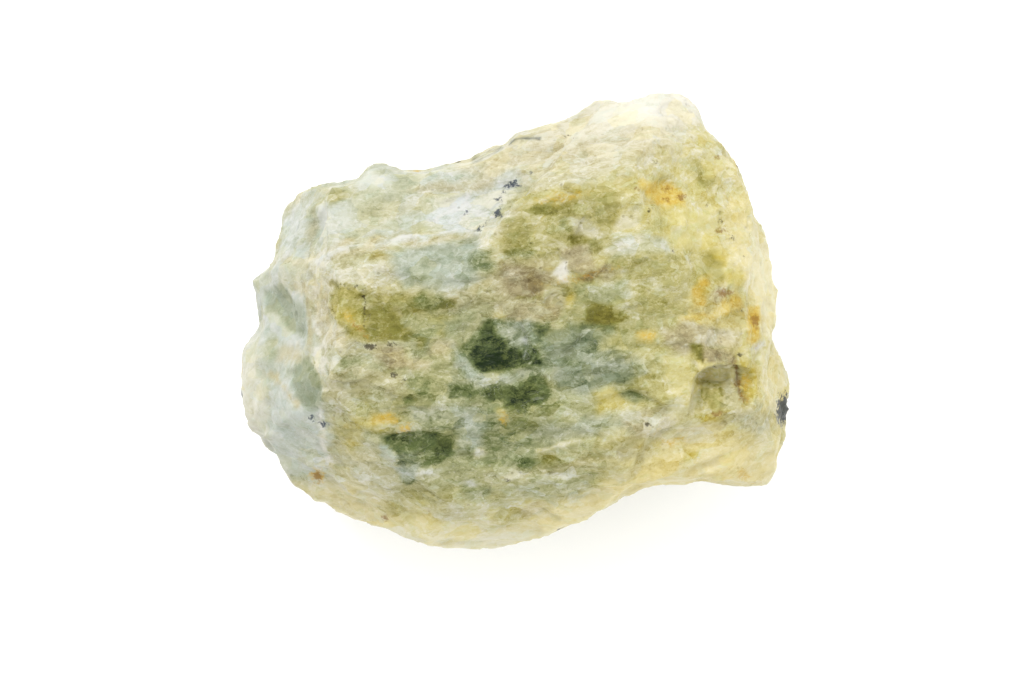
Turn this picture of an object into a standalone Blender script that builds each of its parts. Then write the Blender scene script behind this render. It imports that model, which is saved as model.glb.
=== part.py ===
# A piece of rough chrysoberyl, lying on its flattest cleavage face.
# X runs along the stone's length, Y across it and Z up. The origin is at the centre of its box, on the resting face.
# Lengths below are in millimetres and are turned into metres by MM.

import math

import bmesh
import bpy
import numpy as np
from mathutils import Matrix, Vector, noise
from mathutils.bvhtree import BVHTree

MM = 0.001

# Driving sizes of the whole stone
LENGTH = 30.3
WIDTH = 25.1
HEIGHT = 17.6
RIM_HEIGHT = 8.4  # the stone is widest at this height

# The widest outline seen from above, clockwise from the left end
OUTLINE = (
    (-14.8, 1.8), (-14.9, 2.5), (-13.8, 3.4), (-13.7, 4.1), (-13.2, 6.1), (-12.9, 6.7), (-12.1, 7.2),
    (-11.4, 7.5), (-8.9, 7.8), (-6.7, 8.4), (-5.2, 8.4), (-2.7, 8.9), (-1.5, 9.4),
    (-0.9, 9.7), (-0.3, 10.2), (0.9, 10.7), (2.8, 11.3), (4.0, 12.0), (5.6, 12.1), (7.7, 12.5),
    (9.0, 12.4), (9.8, 11.9), (10.1, 11.2), (10.4, 10.1), (11.2, 9.5), (11.9, 8.4), (12.6, 7.1),
    (13.7, 3.7), (14.3, 2.2), (14.4, 1.4), (14.3, 0.4), (14.0, -0.6), (14.8, -2.2), (15.1, -3.1),
    (15.1, -3.7), (14.8, -5.2), (14.5, -6.4), (14.1, -7.1), (14.3, -7.7), (13.5, -8.7), (12.1, -8.9),
    (9.8, -8.7), (8.9, -8.9), (7.9, -8.7), (6.8, -8.9), (5.2, -9.7), (2.5, -11.1), (-0.2, -12.3),
    (-1.2, -12.5), (-3.3, -12.3), (-5.4, -11.8), (-6.3, -11.7), (-7.5, -11.2), (-9.3, -10.7),
    (-10.3, -10.3), (-11.4, -9.3), (-12.1, -8.8), (-13.2, -7.4), (-13.8, -6.9), (-14.6, -5.4),
    (-14.9, -3.7), (-15.2, -2.2), (-15.1, -1.6), (-14.6, -0.5), (-14.3, -0.1),
)

# Cleavage faces. Each falls away in one compass direction, in degrees from +X,
# from a first to a second pair of reach and height.
CLEAVAGE_FACES = (
    (-80, (0.0, 17.3), (9.0, 16.7)),
    (-97, (4.8, 17.0), (9.5, 14.8)),
    (-86, (8.8, 15.3), (12.4, 9.6)),
    (-122, (10.2, 15.0), (14.2, 9.0)),
    (178, (10.7, 16.7), (15.0, 9.4)),
    (104, (7.6, 16.9), (10.2, 13.4)),
    (18, (9.4, 17.0), (14.2, 13.0)),
    (5, (12.6, 15.0), (15.0, 9.0)),
    (50, (12.6, 16.0), (16.0, 10.5)),
    (-60, (8.6, 16.4), (14.0, 12.8)),
    (-45, (12.4, 15.0), (16.4, 10.6)),
    (182, (7.8, 0.0), (15.0, 8.0)),
    (140, (8.2, 0.0), (14.6, 8.4)),
    (105, (4.8, 0.0), (10.0, 7.6)),
    (62, (7.6, 0.0), (14.3, 9.0)),
    (8, (9.2, 0.0), (14.9, 7.4)),
    (-38, (9.4, 0.0), (16.6, 7.0)),
    (-76, (5.8, 0.0), (12.0, 8.0)),
    (-132, (8.2, 0.0), (15.0, 8.6)),
)

# Pieces that broke out along cleavage. Each is the space beyond all of its faces.
BREAKS = {
    "upper left step": (
        (99, (5.1, 16.9), (9.4, 13.4)),
        (139, (4.6, 8.0), (4.8, 19.0)),
    ),
    "left corner step": (
        (152, (12.0, 14.6), (14.4, 9.4)),
        (97, (3.6, 6.0), (3.8, 19.0)),
        (170, (11.6, 6.0), (11.8, 19.0)),
    ),
    "right hollow": (
        (84, (-6.2, 16.2), (-1.6, 14.5)),
        (-94, (1.6, 8.0), (1.9, 19.0)),
        (-14, (9.6, 8.0), (10.9, 19.0)),
        (168, (-13.6, 8.0), (-12.6, 19.0)),
    ),
    "right end step": (
        (20, (11.8, 15.2), (14.4, 12.4)),
        (30, (13.4, 2.0), (13.7, 19.0)),
        (70, (1.8, 2.0), (2.0, 19.0)),
    ),
    "front shelf": (
        (-66, (6.0, 16.3), (11.4, 14.5)),
        (-80, (7.0, 2.0), (7.3, 19.0)),
        (-28, (8.8, 2.0), (9.4, 19.0)),
    ),
    "under step": (
        (-150, (6.0, 1.5), (13.0, 3.2)),
        (-160, (6.2, -1.0), (6.8, 6.0)),
    ),
}

# Small prisms that stand in the right hollow: X, Y, height of the top, length, width and lean in degrees
HOLLOW_PRISMS = (
    (10.95, -4.3, 15.9, 2.2, 1.1, 4),
    (12.1, -4.0, 15.6, 2.0, 0.8, -8),
)

# Lumps stand proud and pits sink in: centre, radius and height along the surface
LUMPS = (
    ((-7.8, 8.3, 12.4), 1.0, 0.7),
    ((-13.6, -3.6, 9.6), 2.6, 0.5),
    ((-12.8, 0.2, 12.6), 1.8, -0.5),
    ((-10.9, -8.5, 12.4), 0.7, -0.6),
    ((-11.4, 5.2, 13.0), 0.8, -0.6),
    ((12.9, -4.6, 14.0), 1.3, 0.4),
    ((3.0, 1.6, 17.0), 2.2, -0.35),
    ((13.0, 1.4, 13.5), 1.0, -0.4),
    ((6.4, -6.4, 15.6), 1.6, 0.3),
)

# Dark crystals grown on the right edge: Y, Z, size across and turn in degrees
DARK_CRYSTALS = (
    (-4.45, 9.3, 0.75, 20),
    (-4.85, 8.9, 0.55, 65),
    (-5.25, 9.1, 0.65, 110),
)

# Roughness. The fibres run along X and turn a little towards +Y.
GRAIN_ANGLE = 8.0
LEDGES = ((9.0, 2.3, 0.75, 5), (4.0, 1.0, 0.30, 3))  # length, width, depth and number of steps
RISER_STEEPNESS = 3.0
CHIP_LENGTH = 3.4
CHIP_WIDTH = 2.0
CHIP_TILT = 0.55
CHIP_SCATTER = 17.0  # spreads the chips' centres so that each gets a tilt of its own
FADE_HEIGHT = 0.7  # the roughness grows to its full depth over this height above the resting face
LEAN = 0.16  # how far the sides draw in, as a share, at one whole height from the rim

HEART = Vector((0.0, 0.0, RIM_HEIGHT))  # every part of the surface is seen from here
BALL_SUBDIVISIONS = 7
TRIANGLES = 9300  # of the rough surface, before the base is cut and the dark crystals are joined
BASE_CUT = 0.12  # the resting face is cut flat this far up
CRYSTAL_STANDS_OUT = 0.1  # a dark crystal's centre lies outside the surface by this share of its size
SHORTEST_EDGE = 0.06
SMALL = 1e-6


def remove_scene_objects():
    for item in list(bpy.data.objects):
        bpy.data.objects.remove(item, do_unlink=True)


def new_object(name, bm):
    """Object made from a bmesh, which is used up."""
    mesh = bpy.data.meshes.new(name)
    bm.to_mesh(mesh)
    bm.free()
    item = bpy.data.objects.new(name, mesh)
    bpy.context.collection.objects.link(item)
    return item


def evaluated_bmesh(item):
    """The object's mesh with its modifiers, as a new bmesh."""
    depsgraph = bpy.context.evaluated_depsgraph_get()
    bm = bmesh.new()
    bm.from_object(item, depsgraph)
    return bm


def compass(angle):
    return Vector((math.cos(math.radians(angle)), math.sin(math.radians(angle)), 0.0))


def face_plane(face):
    """Point and outward normal of a face that passes two pairs of reach and height."""
    angle, near, far = face
    across = compass(angle)
    fall = across * (far[0] - near[0]) + Vector((0.0, 0.0, far[1] - near[1]))
    level = Vector((-across.y, across.x, 0.0))
    normal = fall.cross(level).normalized()
    if normal.dot(across) < 0.0:
        normal.negate()
    return across * near[0] + Vector((0.0, 0.0, near[1])), normal


def crossings(directions, planes):
    """How far out rays from the heart pass each plane: where they go beyond it and where they come back."""
    beyond = []
    back = []
    for point, normal in planes:
        slope = directions @ np.array(normal)
        slope = np.where(np.abs(slope) < SMALL, SMALL, slope)
        reach = (point - HEART).dot(normal) / slope
        beyond.append(np.where(slope > 0.0, reach, np.nan))
        back.append(np.where(slope < 0.0, reach, np.nan))
    return np.array(beyond), np.array(back)


def outline_reach(directions):
    """Distance to the upright wall over the outline."""
    corners = np.array(OUTLINE)
    angles = np.arctan2(corners[:, 1], corners[:, 0])
    radii = np.hypot(corners[:, 0], corners[:, 1])
    here = np.arctan2(directions[:, 1], directions[:, 0])
    radius = np.interp(here, angles, radii, period=2.0 * math.pi)
    return radius / np.maximum(np.hypot(directions[:, 0], directions[:, 1]), SMALL)


def block_reach(directions):
    """Distance to the wall, or to the first cleavage face or the floor where one is nearer."""
    floor = (Vector((0.0, 0.0, 0.0)), Vector((0.0, 0.0, -1.0)))
    planes = [face_plane(face) for face in CLEAVAGE_FACES] + [floor]
    beyond = crossings(directions, planes)[0]
    return np.fmin(outline_reach(directions), np.nanmin(beyond, axis=0))


def without_break(reach, directions, faces):
    """The distance ends where a ray runs into the space that broke out."""
    beyond, back = crossings(directions, [face_plane(face) for face in faces])
    start = np.max(np.nan_to_num(beyond, nan=0.0), axis=0)
    end = np.min(np.nan_to_num(back, nan=np.inf), axis=0)
    return np.where((start < end) & (start < reach), start, reach)


def with_prism(reach, directions, x, y, top, length, width, lean):
    """The distance grows where a ray leaves a six-sided crystal that lies along Y."""
    centre = Vector((x, y, top - width / 2.0))
    axis = compass(90.0 + lean)
    side = compass(lean)
    planes = [(centre + axis * length / 2.0, axis), (centre - axis * length / 2.0, -axis)]
    for step in range(6):
        turn = math.radians(30.0 + 60.0 * step)
        normal = side * math.cos(turn) + Vector((0.0, 0.0, math.sin(turn)))
        planes.append((centre + normal * width / 2.0, normal))
    beyond, back = crossings(directions, planes)
    end = np.min(np.nan_to_num(beyond, nan=np.inf), axis=0)
    start = np.max(np.nan_to_num(back, nan=0.0), axis=0)
    return np.where((start < end) & (end > reach), end, reach)


def cleaved_block():
    """A fine ball drawn out, or in, from the heart to the cleaved form."""
    bm = bmesh.new()
    bmesh.ops.create_icosphere(bm, subdivisions=BALL_SUBDIVISIONS, radius=1.0)
    directions = np.array([vertex.co.normalized()[:] for vertex in bm.verts])
    reach = block_reach(directions)
    for faces in BREAKS.values():
        reach = without_break(reach, directions, faces)
    for prism in HOLLOW_PRISMS:
        reach = with_prism(reach, directions, *prism)
    for vertex, direction, distance in zip(bm.verts, directions, reach):
        vertex.co = (HEART + Vector(direction) * distance) * MM
    return bm


def join(stone, crystal):
    crystal.hide_render = True
    crystal.display_type = "WIRE"
    step = stone.modifiers.new(crystal.name, "BOOLEAN")
    step.operation = "UNION"
    step.solver = "EXACT"
    step.object = crystal


def grain_frame(point):
    """A point in millimetres turned to run along, across and above the grain."""
    turn = math.radians(GRAIN_ANGLE)
    along = point.x * math.cos(turn) + point.y * math.sin(turn)
    across = point.y * math.cos(turn) - point.x * math.sin(turn)
    return Vector((along, across, point.z))


def terrace(value, steps):
    """A smooth value turned into flat treads with steep risers."""
    scaled = value * steps
    tread = math.floor(scaled)
    rise = (scaled - tread - 0.5) * RISER_STEEPNESS + 0.5
    return (tread + min(max(rise, 0.0), 1.0)) / steps


def fibre_ledges(grain):
    """Height, at or below zero, of the long ledges where bundles of fibres broke away."""
    height = 0.0
    for length, width, depth, steps in LEDGES:
        spot = Vector((grain.x / length, grain.y / width, grain.z / width))
        height -= depth * terrace(0.5 + 0.5 * noise.noise(spot), steps)
    return height


def chips(grain):
    """Height of small tilted facets, one to each chip."""
    spot = Vector((grain.x / CHIP_LENGTH, grain.y / CHIP_WIDTH, grain.z / CHIP_WIDTH))
    centre = noise.voronoi(spot)[1][0]
    tilt = noise.cell_vector(centre * CHIP_SCATTER) - Vector((0.5, 0.5, 0.5))
    return CHIP_TILT * tilt.dot(spot - centre)


def lump_height(point):
    total = 0.0
    for centre, radius, height in LUMPS:
        distance = (point - Vector(centre)).length / radius
        total += height * math.exp(-distance * distance)
    return total


def roughen(bm):
    """Break the smooth cleaved block into ledges, chips, lumps and pits, and leave the resting face alone."""
    bm.normal_update()
    moves = []
    for vertex in bm.verts:
        point = vertex.co / MM
        grain = grain_frame(point)
        height = fibre_ledges(grain) + chips(grain) + lump_height(point)
        move = vertex.normal * height * MM
        move.z *= min(max(point.z / FADE_HEIGHT, 0.0), 1.0)
        moves.append(move)
    for vertex, move in zip(bm.verts, moves):
        vertex.co += move


def lean_walls(bm):
    """Draw the sides in above and below the widest height."""
    for vertex in bm.verts:
        away = (vertex.co.z / MM - RIM_HEIGHT) / HEIGHT
        inward = 1.0 - LEAN * away * away
        vertex.co.x *= inward
        vertex.co.y *= inward


def flatten_base(bm):
    """Cut the resting face dead flat and close it with one face."""
    geometry = bm.verts[:] + bm.edges[:] + bm.faces[:]
    level = (0.0, 0.0, BASE_CUT * MM)
    cut = bmesh.ops.bisect_plane(bm, geom=geometry, plane_co=level, plane_no=(0.0, 0.0, 1.0), clear_inner=True)
    edges = [item for item in cut["geom_cut"] if isinstance(item, bmesh.types.BMEdge)]
    bmesh.ops.holes_fill(bm, edges=edges)


def dark_crystal(tree, y, z, size, turn):
    """Eight-sided crystal, half sunk in the stone's right edge."""
    start = Vector((LENGTH, y, z)) * MM
    surface = tree.ray_cast(start, Vector((-1.0, 0.0, 0.0)))[0]
    bm = bmesh.new()
    bmesh.ops.create_uvsphere(bm, u_segments=4, v_segments=2, radius=size * MM / 2.0)
    lean = Matrix.Rotation(math.radians(turn), 4, Vector((0.4, 0.7, 0.6)))
    place = Matrix.Translation(surface + Vector((CRYSTAL_STANDS_OUT * size * MM, 0.0, 0.0)))
    bmesh.ops.transform(bm, matrix=place @ lean, verts=bm.verts)
    return bm


def fit_to_size(bm):
    """Scale to the driving sizes and put the origin at the middle of the underside."""
    corners = np.array([vertex.co[:] for vertex in bm.verts])
    low = corners.min(axis=0)
    high = corners.max(axis=0)
    middle = Vector(((low[0] + high[0]) / 2.0, (low[1] + high[1]) / 2.0, low[2]))
    scale = np.array((LENGTH, WIDTH, HEIGHT)) * MM / (high - low)
    for vertex in bm.verts:
        moved = vertex.co - middle
        vertex.co = Vector((moved.x * scale[0], moved.y * scale[1], moved.z * scale[2]))


def without_slivers(bm):
    """Collapse the short edges that the flat base and the crystals leave."""
    while min(edge.calc_length() for edge in bm.edges) < SHORTEST_EDGE * MM:
        bmesh.ops.dissolve_degenerate(bm, dist=SHORTEST_EDGE * MM, edges=bm.edges)
        bmesh.ops.triangulate(bm, faces=bm.faces)


def stone_material():
    material = bpy.data.materials.new("cloudy_chrysoberyl")
    material.use_nodes = True
    shader = material.node_tree.nodes["Principled BSDF"]
    shader.inputs["Base Color"].default_value = (0.55, 0.55, 0.31, 1.0)
    shader.inputs["Roughness"].default_value = 0.42
    shader.inputs["Metallic"].default_value = 0.0
    return material


def thinned(bm):
    """The same surface with fewer triangles, which gather where it bends."""
    dense = new_object("dense", bm)
    thin = dense.modifiers.new("fewer triangles", "DECIMATE")
    thin.ratio = TRIANGLES / len(dense.data.polygons)
    bm = evaluated_bmesh(dense)
    remove_scene_objects()
    return bm


def with_dark_crystals(bm):
    tree = BVHTree.FromBMesh(bm)
    stone = new_object("stone", bm)
    for index, crystal in enumerate(DARK_CRYSTALS):
        join(stone, new_object(f"dark_crystal_{index}", dark_crystal(tree, *crystal)))
    bm = evaluated_bmesh(stone)
    remove_scene_objects()
    return bm


def main():
    remove_scene_objects()
    bm = cleaved_block()
    roughen(bm)
    lean_walls(bm)
    bm = thinned(bm)
    flatten_base(bm)
    bm = with_dark_crystals(bm)
    fit_to_size(bm)
    bmesh.ops.triangulate(bm, faces=bm.faces)
    without_slivers(bm)
    stone = new_object("chrysoberyl", bm)
    stone.data.materials.append(stone_material())


main()
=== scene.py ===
import math

import bmesh
import bpy
import numpy as np
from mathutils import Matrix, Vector, noise


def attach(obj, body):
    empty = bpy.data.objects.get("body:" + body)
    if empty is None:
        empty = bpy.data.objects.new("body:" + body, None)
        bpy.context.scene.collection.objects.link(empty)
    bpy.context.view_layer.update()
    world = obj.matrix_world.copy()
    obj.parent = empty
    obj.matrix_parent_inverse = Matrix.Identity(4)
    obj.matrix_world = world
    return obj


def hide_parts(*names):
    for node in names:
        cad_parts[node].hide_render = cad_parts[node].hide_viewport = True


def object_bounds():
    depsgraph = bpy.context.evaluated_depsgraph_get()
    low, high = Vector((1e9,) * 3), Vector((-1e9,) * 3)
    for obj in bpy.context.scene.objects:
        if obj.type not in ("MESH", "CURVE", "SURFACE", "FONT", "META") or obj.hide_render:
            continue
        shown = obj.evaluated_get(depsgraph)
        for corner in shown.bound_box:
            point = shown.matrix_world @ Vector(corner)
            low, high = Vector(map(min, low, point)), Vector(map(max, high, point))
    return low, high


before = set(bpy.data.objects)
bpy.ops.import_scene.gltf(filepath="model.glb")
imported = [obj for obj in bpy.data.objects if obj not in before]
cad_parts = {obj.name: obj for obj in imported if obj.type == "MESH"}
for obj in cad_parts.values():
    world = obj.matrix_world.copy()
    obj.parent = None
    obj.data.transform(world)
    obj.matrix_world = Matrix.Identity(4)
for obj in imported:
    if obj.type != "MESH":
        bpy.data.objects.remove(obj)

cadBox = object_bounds()
mm = 0.001
grainAngle = 8.0  # the fibres lie along X and rise a little to the right
print("frame loaded, box in mm:", [[round(c / mm, 2) for c in corner] for corner in cadBox])

# How the photograph lies on the stone: the pixel over the origin and the size of a pixel in mm
photoView = {
    "originPixel": (515.75, 321.7),
    "pixelSize": 0.055,
    "middlePixel": (512.0, 341.5),
    "frameWidth": 1024,
}

# Metres and watts. The outline height is where the stone is widest, and the photograph's scale holds there
studio = {
    "cameraDistance": 0.42,
    "sensorWidth": 36.0,
    "outlineHeight": 0.0085,
    "floorSize": 1.2,
    "floorColor": (0.93, 0.93, 0.92, 1.0),
    "floorRoughness": 0.9,
    "floorSheen": 0.1,
    "lightLevel": 1.9,
    "skyStrength": 1.22,
    "keyPower": 1.6,
    "keySize": 0.28,
    "keyPlace": (-0.10, 0.26, 0.34),
    "fillPower": 0.45,
    "fillSize": 0.30,
    "fillPlace": (0.28, -0.14, 0.26),
    "aimPoint": (0.0, 0.0, 0.01),
}


def seenColor(red, green, blue):
    # a colour read on the screen, made linear and then darker by as much as the lights are bright
    values = []
    for channel in (red, green, blue):
        part = channel / 255.0
        linear = part / 12.92 if part <= 0.04045 else ((part + 0.055) / 1.055) ** 2.4
        values.append(linear / studio["lightLevel"])
    return (*values, 1.0)


def cameraSpot():
    # millimetres on the stone under the middle of the photograph
    x = (photoView["middlePixel"][0] - photoView["originPixel"][0]) * photoView["pixelSize"]
    y = (photoView["originPixel"][1] - photoView["middlePixel"][1]) * photoView["pixelSize"]
    return x, y


def toPhoto(points):
    # the pixel where the camera sees each point, given in mm
    x, y = cameraSpot()
    distance = studio["cameraDistance"] / mm
    scale = (distance - studio["outlineHeight"] / mm) / (distance - points[:, 2]) / photoView["pixelSize"]
    column = photoView["middlePixel"][0] + (points[:, 0] - x) * scale
    row = photoView["middlePixel"][1] - (points[:, 1] - y) * scale
    return np.column_stack((column, row))


def smoothStep(low, high, value):
    part = np.clip((value - low) / (high - low), 0.0, 1.0)
    return part * part * (3.0 - 2.0 * part)


# Camera, floor and lights

def makeCamera():
    data = bpy.data.cameras.new("camera")
    data.sensor_width = studio["sensorWidth"]
    distance = studio["cameraDistance"] - studio["outlineHeight"]
    seenWidth = photoView["frameWidth"] * photoView["pixelSize"] * mm
    data.lens = studio["sensorWidth"] * distance / seenWidth
    data.clip_start = 0.01
    data.clip_end = 5.0
    camera = bpy.data.objects.new("camera", data)
    x, y = cameraSpot()
    camera.location = (x * mm, y * mm, studio["cameraDistance"])
    bpy.context.collection.objects.link(camera)
    bpy.context.scene.camera = camera


def makeFloor():
    half = studio["floorSize"] / 2.0
    bm = bmesh.new()
    square = ((-half, -half), (half, -half), (half, half), (-half, half))
    bm.faces.new([bm.verts.new((x, y, 0.0)) for x, y in square])
    mesh = bpy.data.meshes.new("floor")
    bm.to_mesh(mesh)
    bm.free()
    floor = bpy.data.objects.new("floor", mesh)
    bpy.context.collection.objects.link(floor)
    material = bpy.data.materials.new("paleFloor")
    material.use_nodes = True
    shader = material.node_tree.nodes["Principled BSDF"]
    shader.inputs["Base Color"].default_value = studio["floorColor"]
    shader.inputs["Roughness"].default_value = studio["floorRoughness"]
    shader.inputs["Specular IOR Level"].default_value = studio["floorSheen"]
    mesh.materials.append(material)


def makeAreaLight(name, place, size, power):
    data = bpy.data.lights.new(name, "AREA")
    data.shape = "DISK"
    data.size = size
    data.energy = power
    light = bpy.data.objects.new(name, data)
    light.location = place
    aim = Vector(studio["aimPoint"]) - Vector(place)
    light.rotation_euler = aim.to_track_quat("-Z", "Y").to_euler()
    bpy.context.collection.objects.link(light)


def makeLights():
    world = bpy.data.worlds.new("softSky")
    world.use_nodes = True
    sky = world.node_tree.nodes["Background"]
    sky.inputs["Color"].default_value = (1.0, 1.0, 1.0, 1.0)
    sky.inputs["Strength"].default_value = studio["skyStrength"]
    bpy.context.scene.world = world
    makeAreaLight("key", studio["keyPlace"], studio["keySize"], studio["keyPower"])
    makeAreaLight("fill", studio["fillPlace"], studio["fillSize"], studio["fillPower"])
    bpy.context.scene.view_settings.view_transform = "Standard"


makeCamera()
makeFloor()
makeLights()
print("camera, floor and lights made")

# The stone's mesh: the frame's solid on an even fine mesh, then fibres, flakes and pits

# In mm, but for the voxel in metres and the smoothing in rounds. A flake has its length, width and tilt. The
# rim is the height of the widest outline, and side relief is the share of the relief that steep sides get.
# Clear glassy places lose the clear shares of the fibres and flakes, and all pits
stoneShape = {
    "voxel": 0.000172,
    "smoothing": 3,
    "broadSmoothing": 60,
    "fibreLength": 3.4,
    "fibreWidth": 0.55,
    "fibreDepth": 0.10,
    "flakes": ((2.2, 1.1, 0.26), (0.9, 0.5, 0.34)),
    "flakeShuffle": 23.0,
    "pitSize": 0.9,
    "pitDepth": 0.16,
    "pitEdge": (0.35, 0.6),
    "flatGround": (0.05, 0.5),
    "rimHeight": 8.4,
    "sideRelief": 0.6,
    "clearFibres": 0.7,
    "clearFlakes": 0.5,
}
stretch = 1.6  # how much longer noise is along the fibres than across them

# Where in the noise each use of it begins, so that no two of them look alike
noiseStart = {
    "fibres": 3.0,
    "pits": 11.0,
    "wide": (5.0, 21.0),
    "fine": (9.0, 27.0),
    "ragged": 61.0,
    "level": 51.0,
    "hues": (31.0, 38.0, 45.0, 52.0, 59.0),
    "marks": (73.0, 84.0, 95.0, 106.0),
}


def grainFrame(points):
    # columns: along the fibres, across them and up, in mm
    turn = math.radians(grainAngle)
    along = points[:, 0] * math.cos(turn) + points[:, 1] * math.sin(turn)
    across = points[:, 1] * math.cos(turn) - points[:, 0] * math.sin(turn)
    return np.column_stack((along, across, points[:, 2]))


def noiseAt(grain, length, width, offset=0.0):
    stretched = grain / np.array((length, width, width)) + offset
    return np.array([noise.noise(Vector(p)) for p in stretched])


def solidCopy():
    # the node's mesh is loose triangles, so its doubles are merged first
    bm = bmesh.new()
    bm.from_mesh(bpy.data.objects["chrysoberyl"].data)
    bmesh.ops.remove_doubles(bm, verts=bm.verts, dist=1e-7)
    mesh = bpy.data.meshes.new("solidCopy")
    bm.to_mesh(mesh)
    bm.free()
    return mesh


def evenMesh(smoothing):
    item = bpy.data.objects.new("evenMesh", solidCopy())
    bpy.context.collection.objects.link(item)
    remesh = item.modifiers.new("remesh", "REMESH")
    remesh.mode = "VOXEL"
    remesh.voxel_size = stoneShape["voxel"]
    smooth = item.modifiers.new("smooth", "SMOOTH")
    smooth.factor = 0.5
    smooth.iterations = smoothing
    depsgraph = bpy.context.evaluated_depsgraph_get()
    mesh = bpy.data.meshes.new_from_object(item.evaluated_get(depsgraph))
    bpy.data.objects.remove(item, do_unlink=True)
    return mesh


def readVectors(items, key):
    values = np.empty(len(items) * 3)
    items.foreach_get(key, values)
    return values.reshape(-1, 3)


def flakeTilts(grain, length, width, tilt):
    # each flake is a small facet with a tilt of its own
    size = np.array((length, width, width))
    heights = np.empty(len(grain))
    for index, row in enumerate(grain / size):
        place = Vector(row)
        centre = noise.voronoi(place)[1][0]
        slope = noise.cell_vector(centre * stoneShape["flakeShuffle"]) - Vector((0.5, 0.5, 0.5))
        heights[index] = slope.dot(place - centre)
    return heights * width * tilt


def shapeStone(mesh, broadPoints, clearness, form):
    # fibres, flakes and pits, and the lift and softening of single features
    points = readVectors(mesh.vertices, "co") / mm
    points += (broadPoints - points) * form["soften"][:, None]
    normals = readVectors(mesh.vertex_normals, "vector")
    grain = grainFrame(points)
    fibres = np.abs(noiseAt(grain, stoneShape["fibreLength"], stoneShape["fibreWidth"], noiseStart["fibres"]))
    pitSize = stoneShape["pitSize"]
    pits = smoothStep(*stoneShape["pitEdge"], noiseAt(grain, pitSize * stretch, pitSize, noiseStart["pits"]))
    relief = -fibres * stoneShape["fibreDepth"] * (1.0 - stoneShape["clearFibres"] * clearness)
    for flake in stoneShape["flakes"]:
        relief += flakeTilts(grain, *flake) * (1.0 - stoneShape["clearFlakes"] * clearness)
    relief -= pits * stoneShape["pitDepth"] * (1.0 - clearness)
    relief *= 1.0 - (1.0 - stoneShape["sideRelief"]) * form["steep"]
    relief += form["lift"]
    resting = smoothStep(*stoneShape["flatGround"], points[:, 2])  # the face it rests on stays flat
    moved = points + normals * (relief * resting)[:, None]
    low = np.array(cadBox[0]) / mm
    high = np.array(cadBox[1]) / mm
    moved = np.clip(moved, low, high)
    mesh.vertices.foreach_set("co", (moved * mm).ravel())
    mesh.update()


# Colours read from the photograph, as red, green and blue on the screen. Each hue runs from a white
# veil through two mid tones to clear stone, and a level says where on that way: 0 is veil, 1 is clear

hueTones = {
    "warm": ((242, 239, 221), (203, 198, 155), (160, 153, 99), (100, 94, 36)),
    "green": ((228, 229, 210), (182, 185, 138), (112, 124, 70), (22, 42, 0)),
    "blue": ((235, 236, 231), (196, 202, 182), (146, 155, 121), (60, 80, 40)),
    "olive": ((236, 230, 196), (194, 187, 122), (146, 141, 64), (86, 82, 12)),
    "yellow": ((250, 246, 222), (229, 219, 152), (205, 187, 86), (150, 124, 28)),
    "tan": ((236, 230, 204), (200, 190, 146), (152, 138, 98), (86, 70, 38)),
    # the cream hue is the pale outline's own cream with a painted glow, as if light came through the thin
    # edge
    "creamAndGlow": ((255, 247, 208), (240, 226, 166), (208, 188, 104), (150, 124, 40)),
    "sun": ((250, 238, 192), (240, 217, 124), (222, 182, 66), (158, 110, 22)),
    "chalk": ((252, 249, 236), (232, 226, 200), (190, 180, 140), (140, 126, 82)),
    "slate": ((224, 226, 222), (170, 174, 168), (116, 122, 120), (60, 66, 72)),
}
hues = {name: np.array([seenColor(*tone) for tone in tones]) for name, tones in hueTones.items()}


# Shapes in the photograph's pixels. A dot has its middle, half size and turn in degrees, a crack its width
# and its points. A spot, a streak and an area have a hue and a level too

def dot(middle, halfSize, turn=0, **more):
    return {"oval": (middle, halfSize, turn), **more}


def crack(width, *line, **more):
    return {"line": line, "width": width, **more}


def spot(hue, level, middle, halfSize, turn=0, soft=4, **more):
    return dot(middle, halfSize, turn, hue=hue, level=level, soft=soft, **more)


def streak(hue, level, width, *line, soft=4, **more):
    return crack(width, *line, hue=hue, level=level, soft=soft, **more)


def area(hue, level, *outline, soft=4, **more):
    return {"outline": outline, "hue": hue, "level": level, "soft": soft, **more}


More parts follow.
